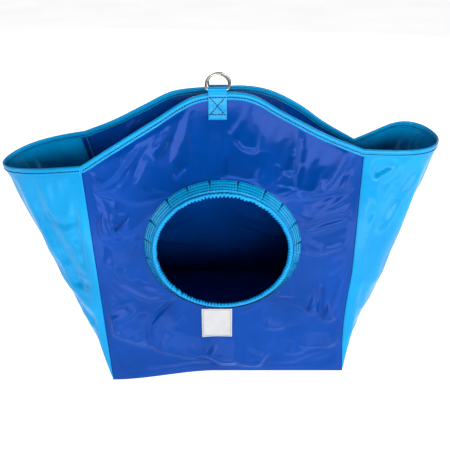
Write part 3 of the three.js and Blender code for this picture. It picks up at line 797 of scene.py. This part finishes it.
# ---- collar ----------------------------------------------------------------------------
FLAPS = 20
FIRST_SLIT = math.radians(7)
SLIT = {"outer": 3.2, "inner": 0.7}     # width of the cut between two flaps, at its two ends
COLLAR_LAYER = 0.8
GATHERS = 118                 # small gathers round the roll's inner side
BUNCH = {"angle": math.radians(228), "spread": 0.3, "height": 1.3}    # and a few large ones
COLLAR_ROWS = (1.8, 6.0, 10.2, 14.6)    # rows of stitches on the flaps, up from the foot
COLLAR_STITCH = (4.2, 0.4, 0.5)         # their length, gap and radius
CONE_LENGTH = math.hypot(HOLE["foot"] - HOLE["lip"], HOLE["rise"])


def cone_point(along, off, angle):
    """A point on the collar's cone: along it from its foot to its lip, and off it to the front."""
    inward = (HOLE["lip"] - HOLE["foot"]) / CONE_LENGTH
    rise = HOLE["rise"] / CONE_LENGTH
    radius = HOLE["foot"] + along * inward + off * rise
    return ring_point(radius, along * rise - off * inward, angle)


def collar_flaps():
    """The strip's outer hem, cut into flaps so that it lies flat round the curve."""
    parts = []
    rng = np.random.default_rng(21)
    share = np.linspace(0, 1, 15)
    along = np.linspace(-0.6, 16.6, 12)
    cuts = FIRST_SLIT + (np.arange(FLAPS) + rng.uniform(-0.1, 0.1, FLAPS)) * 2 * math.pi / FLAPS
    cuts = np.append(cuts, cuts[0] + 2 * math.pi)
    half_cut = mix(SLIT["outer"], SLIT["inner"], smooth((along + 0.9) / 10)) / 2 / HOLE["foot"]
    for k in range(FLAPS):
        angle = mix((cuts[k] + half_cut)[None], (cuts[k + 1] - half_cut)[None], share[:, None])
        reach = np.broadcast_to(along, angle.shape)
        corner = (np.abs(share * 2 - 1)[:, None] ** 4) * smooth((3 - along) / 6)[None]
        lift = 2.05 + rng.uniform(0.3, 1.3, 2)[(share > 0.5).astype(int)][:, None] * corner
        lift = lift + 0.12 * waves(np.stack([angle * 120, reach], -1), 40 + k, 8, 20)
        parts.append(closed_strip(cone_point(reach, lift, angle), COLLAR_LAYER))
    return parts


def collar_roll():
    """The strip's front fold: a soft roll with gathers on its inner side, and the lining behind it."""
    angle = np.linspace(0, 2 * math.pi, 10 * GATHERS, endpoint=False)
    ring = np.stack([np.cos(angle), np.sin(angle)], -1) * 100
    uneven = 0.75 + 0.3 * waves(ring, 51, 60, 160)
    lobes = 2 * np.abs(np.sin(GATHERS / 2 * angle + 0.8 * waves(ring, 52, 40, 120))) - 1
    bunched = np.exp(-((angle - BUNCH["angle"]) / BUNCH["spread"]) ** 2)
    gather = (lobes * uneven + 0.3 * waves(ring, 53, 14, 30)
              + BUNCH["height"] * bunched * waves(ring, 54, 9, 17))
    section = [
        (9.5, 1.1, 0.0), (15.0, 0.9, 0.0), (17.0, -0.8, 0.0), (18.3, -1.0, 0.0), (18.8, 1.0, 0.2),
        (19.8, 2.8, 0.4), (21.6, 3.2, 0.6), (23.4, 1.8, 0.9), (24.4, -0.4, 1.0), (24.2, -2.8, 1.0),
        (22.4, -4.1, 0.9), (19.6, -4.6, 0.7), (16.0, -4.1, 0.5), (11.0, -3.0, 0.3), (6.0, -2.3, 0.1),
        (2.5, -2.0, 0.0),
    ]
    rows = []
    for along, off, gathered in section:
        rows.append(cone_point(along + 1.4 * gathered * gather, off - 0.5 * gathered * gather, angle))
    grid = np.stack(rows, 1)
    return closed_strip(grid, 0.7, wrap_rows=True)


def collar():
    """The collar's strip, and its stitches: rows on the flaps and one row inside."""
    strip = many("collar_strip", [*collar_flaps(), collar_roll()], SKY)
    angle = np.linspace(0, 2 * math.pi, 400)
    out = unit(cone_point(0, 1, angle) - cone_point(0, 0, angle))
    rows = [stitch_row(cone_point(along, 2.15, angle), out, *COLLAR_STITCH, seed=60 + k)
            for k, along in enumerate(COLLAR_ROWS)]
    inside = stitch_row(cone_point(11.5, -2.9, angle), -out, seed=70)
    threads = many("collar_stitches", [*rows, inside], THREAD)
    return strip, threads


# ---- tabs and rings --------------------------------------------------------------------
EYE_OUTER = TAB["inner_eye"] + TAB["layer"]
TAB_LAYER = 1.0               # thickness of the drawn strip
TAB_SEWING = {"side": 0.8, "low": 6.5, "top": 6.5, "cross": 2.6, "off": 0.8}    # insets


def frame_at(origin, up, out):
    """(origin, side, up, out) of a tab, as in the CAD model."""
    return origin, unit(np.cross(up, out)), up, out


def tab_point(frame_axes, side, up, out):
    origin, side_axis, up_axis, out_axis = frame_axes
    return (origin + np.asarray(side, float)[..., None] * side_axis
            + np.asarray(up, float)[..., None] * up_axis + np.asarray(out, float)[..., None] * out_axis)


def settle(up, eye_height, steps):
    """How far a tab's tails bend back to what they are sewn on, at heights up the tab."""
    return -sum(depth * smooth((eye_height - below - up) / over) for depth, below, over in steps)


def tab_strip(name, frame_axes, tail, eye_height, steps, seed):
    """A strip folded over the ring's bar, its two tails lying on each other."""
    layer = TAB_LAYER
    radius = TAB["inner_eye"] + layer / 2
    neck = math.asin(layer / 2 / radius)
    turns = np.linspace(-math.pi / 2 + neck, 1.5 * math.pi - neck, 28)
    down = np.linspace(-tail, eye_height - radius - 1.2, 16)
    rng = np.random.default_rng(seed)
    up = np.concatenate([down + 0.0, eye_height + radius * np.sin(turns), down[::-1] - 0.8])
    out = np.concatenate([np.full(16, layer / 2 + 0.06), radius * np.cos(turns),
                          np.full(16, -layer / 2 - 0.06)])
    share = np.linspace(-1, 1, 17)
    wide = (TAB["width"] / 2 - 0.3) * (1 + 0.008 * waves(up[:, None], seed, 6, 18))
    side = wide[:, None] * share[None]
    edge = np.abs(share)[None] ** 6 * 0.25
    bow = 0.22 * waves(np.stack(np.broadcast_arrays(side, up[:, None]), -1), seed + 1, 12, 40)
    sign = np.where(np.arange(len(up)) < len(up) / 2, 1, -1)[:, None]
    grid = tab_point(frame_axes, side, up[:, None] + rng.normal(0, 0.03, up[:, None].shape),
                     (out + settle(up, eye_height, steps))[:, None] + (bow + edge) * sign * 0.5)
    solid, faces = closed_strip(grid[:, ::-1], layer - 0.1)
    return piece(name, solid, faces, SKY)


def tab_stitches(name, frame_axes, tail, top, eye_height, steps, seed):
    """Two level rows across the tab, with a cross between them."""
    half = TAB["width"] / 2 - TAB_SEWING["side"]
    low = -tail + TAB_SEWING["low"]
    cross = half - TAB_SEWING["cross"]
    rows = [((-half, low), (half, low)), ((-half, top), (half, top)),
            ((-cross, low), (cross, top)), ((-cross, top), (cross, low))]
    parts = []
    for k, (start, end) in enumerate(rows):
        t = np.linspace(0, 1, 24)[:, None]
        line = mix(start, end, t)
        path = tab_point(frame_axes, line[:, 0], line[:, 1],
                         TAB_SEWING["off"] + settle(line[:, 1], eye_height, steps))
        parts.append(stitch_row(path, frame_axes[3], seed=seed + k))
    return many(name, parts, THREAD)


def ring_line(steps=72):
    """A D-ring's centreline in its own plane, with its bar's middle at the origin."""
    start = -math.asin(RING["drop"] / RING["arc"])
    turn = np.linspace(start, math.pi - start, steps)
    arc = np.stack([RING["arc"] * np.cos(turn), RING["lift"] + RING["arc"] * np.sin(turn)], -1)
    corner = np.array([[2.3, 2.7], [1.9, 1.5], [1.4, 0.7], [0.8, 0.2], [0.1, 0.0]])
    bar = RING["bar"]
    down = np.stack([-bar - corner[:, 0], corner[:, 1]], -1)
    flat = np.stack([np.linspace(-bar, bar, 14)[1:-1], np.zeros(12)], -1)
    up = np.stack([bar + corner[::-1, 0], corner[::-1, 1]], -1)
    return np.vstack([arc, down, flat, up])


def d_ring(name, node, body, centre, up, out, seed):
    """Bent wire, closed by a small weld in the middle of its bar."""
    line = ring_line()
    across_axis = unit(np.cross(up, out))
    centreline = centre + line[:, :1] * across_axis + line[:, 1:] * up
    along = unit(np.roll(centreline, -1, 0) - np.roll(centreline, 1, 0))
    sideways = unit(np.cross(along, out))
    weld = np.exp(-((line[:, 0] / 1.1) ** 2)) * (line[:, 1] < 1)
    radius = RING["wire"] / 2 * (1 + 0.06 * weld + 0.012 * waves(line, seed, 6, 20))
    turns = np.linspace(0, 2 * math.pi, 20, endpoint=False)
    grid = (centreline[:, None] + sideways[:, None] * (radius[:, None] * np.cos(turns))[..., None]
            + np.asarray(out) * (radius[:, None] * np.sin(turns))[..., None])
    obj = piece(name, grid, grid_faces(*grid.shape[:2], True, True, flip=True), NICKEL, body)
    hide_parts(node)
    return obj


def ring_centre(joint_name):
    found = next(j for j in frame["joints"] if j["name"] == joint_name)
    return np.array(found["pos_m"]) / MM


def rim_frame(seat, rim, below):
    """A rim tab's frame: up along the panel, out from it; below is the panel's face a tail lower."""
    up = unit((rim - below) * [0, 1, 1])
    facing = -1 if rim[1] < -10 else 1
    out = facing * np.array([0, up[2], -up[1]])
    lift = BINDING["gap"] + BINDING["layer"] + seat["stand"] + TAB["layer"]
    cos, sin = math.cos(seat["tilt"]), math.sin(seat["tilt"])
    return frame_at(rim + out * lift, up * cos + out * sin, out * cos - up * sin)


def front_face(x, z):
    """The front panel's outer face straight above the hole."""
    edge = at_x(RIM["front"], x)
    foot = ring_point(HOLE["foot"], 0, foot_angle(edge))
    y = beside_hole(foot, edge, (z - foot[2]) / (edge[2] - foot[2]))[1]
    return np.array([x, y, z])


# A tab's tails bend back to what they are sewn on: (how far, how far under the fold, over what).
TAIL_STEPS = {
    "front": ((1.9, 2.5, 5), (1.0, 14.5, 5)),    # to the binding, then to the panel
    "back": ((2.6, 3.0, 7),),
}
REAR_STEPS = ((3.4, 3.0, 9),)


def rim_tab(prefix, rim, below, seed):
    """A tab folded over the rim, with its stitches and its ring."""
    seat, steps = SEAT[prefix], TAIL_STEPS[prefix]
    axes = rim_frame(seat, rim, below)
    eye_height = BINDING["layer"] + AIR + EYE_OUTER + TAB["clear"] - seat["drop"]
    top = -TAB_SEWING["top"] - 0.8 * seat["drop"]
    strip = tab_strip(f"{prefix}_tab_strip", axes, TAB["tail"], eye_height, steps, seed)
    sewn = tab_stitches(f"{prefix}_tab_stitches", axes, TAB["tail"], top, eye_height, steps, seed)
    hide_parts(f"{prefix}_tab")
    facing = np.sign(axes[3][1])
    lean = seat["lean"]
    ring_up = np.array([0, -facing * math.sin(lean), math.cos(lean)])
    ring_out = np.array([0, facing * math.cos(lean), math.sin(lean)])
    d_ring(f"{prefix}_ring_wire", f"{prefix}_d_ring", f"{prefix}_ring",
           ring_centre(f"{prefix}_ring_swing"), ring_up, ring_out, seed + 5)
    return strip, sewn


def rear_tab():
    """The tab low on the back panel, with its stitches and its hanging ring."""
    u = (REAR_TAB["x"] - BASE["backLeft"][0]) / BACK_WIDTH
    at = back_point(u, REAR_TAB["height"])
    lower = back_point(u, REAR_TAB["height"] - REAR_TAB["length"] / SIDE_HEIGHT)
    up = unit((lower - at) * [0, 1, 1])
    out = np.array([0, -up[2], up[1]])
    eye_height = EYE_OUTER + REAR_TAB["eye_lift"]
    axes = frame_at(at + out * (EYE_OUTER + REAR_TAB["stand"]), up, out)
    strip = tab_strip("rear_tab_strip", axes, REAR_TAB["length"], eye_height, REAR_STEPS, 91)
    sewn = tab_stitches("rear_tab_stitches", axes, REAR_TAB["length"], -7, eye_height, REAR_STEPS, 92)
    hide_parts("lower_rear_tab")
    d_ring("rear_ring_wire", "lower_rear_d_ring", "lower_rear_ring",
           ring_centre("lower_rear_ring_swing"), up, out, 93)
    return strip, sewn


# ---- label -----------------------------------------------------------------------------
LABEL_LAYER = 0.6
LABEL_STITCH = (1.7, 1.3, 0.42)         # length, gap and radius of its border's stitches


def cast_on(obj, x, z):
    """The y of a front surface at each (x, z), seen from the front."""
    tree = BVHTree.FromPolygons([v.co for v in obj.data.vertices],
                                [p.vertices for p in obj.data.polygons])
    found = np.zeros(x.shape)
    for spot in np.ndindex(x.shape):
        hit = tree.ray_cast(Vector((x[spot] * MM, -1, z[spot] * MM)), Vector((0, 1, 0)))[0]
        found[spot] = hit.y / MM
    return found


def soften_grid(values, rounds):
    for _ in range(rounds):
        padded = np.pad(values, 1, mode="edge")
        values = (padded[:-2, 1:-1] + padded[2:, 1:-1] + padded[1:-1, :-2] + padded[1:-1, 2:]) / 4
    return values


def label(panel):
    """A plain white patch, stiffer than the sheet that it is sewn on, with a dotted border."""
    x, z = np.meshgrid(LABEL["x"] + np.linspace(-0.5, 0.5, 41) * LABEL["width"],
                       LABEL["z"] + np.linspace(-0.5, 0.5, 45) * LABEL["height"], indexing="ij")
    under = cast_on(panel, x, z)
    soft = soften_grid(under, 12)
    y = soft - max(0, float((soft - under).max())) * 0.6 - 0.75
    grid = np.stack([x, y, z], -1)
    solid, faces = closed_strip(grid, LABEL_LAYER)
    patch = piece("label_patch_weave", solid, faces, LABEL_WHITE)
    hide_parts("label_patch")
    edge = 2
    loop = np.vstack([grid[edge:-edge, edge], grid[-edge - 1, edge:-edge],
                      grid[edge:-edge, -edge - 1][::-1], grid[edge, edge:-edge][::-1]])
    out = np.array([0, -1.0, 0.2])
    sewn = many("label_stitches", [stitch_row(loop, unit(out), *LABEL_STITCH, seed=81)], THREAD)
    return patch, sewn


# ---- hems inside the bag ---------------------------------------------------------------
HEM = {"start": 1.6, "end": 9.5, "layer": 1.5, "sway": 0.8}      # distances in from the seam


def inner_hems():
    """The sheets' sewn edges, turned inwards along the four upright seams."""
    strips, rows = [], []
    v = np.linspace(0.01, 0.975, 90)
    for k, corner in enumerate(BASE):
        line = seam(corner, v)
        outward = -1 if corner.endswith("Left") else 1
        behind = 1 if corner.startswith("front") else -1
        lean = outward * 1.2 * (v - 0.35)         # towards the gusset at the top, away from it below
        inward = unit(np.stack([lean, np.full(len(v), 0.6 * behind), np.zeros(len(v))], -1))
        along = unit(np.gradient(line, axis=0))
        inward = unit(inward - along * (inward * along).sum(-1, keepdims=True))
        side = unit(np.cross(along, inward))
        reach = np.linspace(HEM["start"], HEM["end"], 6)
        sway = HEM["sway"] * waves(line, 100 + k, 30, 90)[:, None] * (reach / 8.5)[None] ** 2
        grid = (line[:, None] + inward[:, None] * reach[None, :, None] + side[:, None] * sway[..., None])
        strips.append(closed_strip(grid, HEM["layer"]))
        for sign in (1, -1):
            path = grid[:, 3] + side * (0.75 * sign - 0.75) * -1
            rows.append(stitch_row(path, side * sign, seed=110 + k))
    hems = many("inner_seam_hems", strips, BLUE)
    return hems, many("inner_seam_stitches", rows, THREAD)


# ---- the bag ---------------------------------------------------------------------------
front = front_panel()
back = wall("back_panel_sheet", back_point, PANEL_WIDTH, BACK_CREASES, 12, 100, 104, BLUE,
            False, still=(UNDER_TAB["rear"], UNDER_TAB["back"]))
left = wall("left_gusset_sheet", lambda u, v: gusset_point("left", u, v), GUSSET_DEPTH, LEFT_CREASES, 13,
            84, 104, SKY, False)
right = wall("right_gusset_sheet", lambda u, v: gusset_point("right", u, v), GUSSET_DEPTH, RIGHT_CREASES,
             14, 84, 104, SKY, True)
bottom = base_panel()
for sheet in (front, back, left, right, bottom):
    thicken(sheet)
binding, rim_threads = rim_binding()
collar_piece, collar_threads = collar()
front_rim = at_x(RIM["front"], TAB["front_x"])
front_tab, front_tab_threads = rim_tab(
    "front", front_rim, front_face(TAB["front_x"], front_rim[2] - TAB["tail"]), 85)
back_rim = at_x(RIM["back"], TAB["back_x"])
back_u = (TAB["back_x"] - TOP["backLeft"][0]) / (TOP["backRight"][0] - TOP["backLeft"][0])
back_tab, back_tab_threads = rim_tab(
    "back", back_rim, back_point(back_u, 1 - TAB["tail"] / back_rim[2]), 88)
lower_tab, lower_tab_threads = rear_tab()
patch, patch_threads = label(front)
hems, hem_threads = inner_hems()

for sheet, node in ((front, "front_panel"), (back, "back_panel"), (left, "left_gusset"),
                    (right, "right_gusset"), (bottom, "base_panel"), (binding, "rim_binding"),
                    (collar_piece, "hole_collar")):
    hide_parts(node)

# ---- camera, lights and floor ----------------------------------------------------------
CAMERA = {"place": (0, -0.621, 0.709), "tilt": math.radians(53.4), "sensor": 36, "lens": 32.9}
AIM = (0, -0.05, 0.25)        # where the softboxes point
SOFTBOXES = [                 # name, place, target, width and height, watts
    ("front_softbox", (0.7, -2.4, 0.95), AIM, (3.2, 0.95), 54),
    ("overhead_softbox", (0.3, 0.1, 2.4), AIM, (2.2, 2.2), 5),
    ("right_softbox", (2.2, -0.9, 0.9), AIM, (1.0, 1.6), 8),
    ("left_softbox", (-2.3, -0.8, 0.9), AIM, (0.5, 1.6), 5),
    ("low_strip", (0.2, -1.05, 0.08), (0.1, -0.1, 0.1), (2.2, 0.14), 2.6),
    ("back_softbox", (0.3, 2.7, 0.9), AIM, (2.4, 1.0), 22),
]
FLOOR_REACH = 12

scene = bpy.context.scene
camera = bpy.data.objects.new("camera", bpy.data.cameras.new("camera"))
camera.location = CAMERA["place"]
camera.rotation_euler = (CAMERA["tilt"], 0, 0)
camera.data.sensor_width = CAMERA["sensor"]
camera.data.lens = CAMERA["lens"]
scene.collection.objects.link(camera)
scene.camera = camera
scene.view_settings.view_transform = "Standard"


def softbox(name, place, target, size, watts):
    data = bpy.data.lights.new(name, "AREA")
    data.shape = "RECTANGLE"
    data.size, data.size_y = size
    data.energy = watts
    lamp = bpy.data.objects.new(name, data)
    lamp.location = place
    lamp.rotation_euler = (Vector(target) - Vector(place)).to_track_quat("-Z", "Y").to_euler()
    scene.collection.objects.link(lamp)


for light in SOFTBOXES:
    softbox(*light)


def studio_world(low, high, fade):
    """Pale walls round the horizon that darken towards the ceiling, between two heights."""
    world = bpy.data.worlds.new("studio")
    world.use_nodes = True
    tree = world.node_tree
    background = tree.nodes["Background"]
    background.inputs["Color"].default_value = (0.96, 0.97, 1, 1)
    place = tree.nodes.new("ShaderNodeTexCoord")
    parts = tree.nodes.new("ShaderNodeSeparateXYZ")
    ramp = tree.nodes.new("ShaderNodeMapRange")
    ramp.interpolation_type = "SMOOTHSTEP"
    for key, value in zip(("From Min", "From Max", "To Min", "To Max"), (*fade, low, high)):
        ramp.inputs[key].default_value = value
    tree.links.new(place.outputs["Generated"], parts.inputs["Vector"])
    tree.links.new(parts.outputs["Z"], ramp.inputs["Value"])
    tree.links.new(ramp.outputs["Result"], background.inputs["Strength"])
    return world


scene.world = studio_world(low=0.92, high=0.08, fade=(0.22, 0.5))

floor_mesh = bpy.data.meshes.new("studio_floor")
floor_corners = [(x * FLOOR_REACH, y * FLOOR_REACH, 0) for x, y in ((-1, -1), (1, -1), (1, 1), (-1, 1))]
floor_mesh.from_pydata(floor_corners, [], [(0, 1, 2, 3)])
floor_mesh.materials.append(studio_floor())
floor = bpy.data.objects.new("studio_floor", floor_mesh)
scene.collection.objects.link(floor)
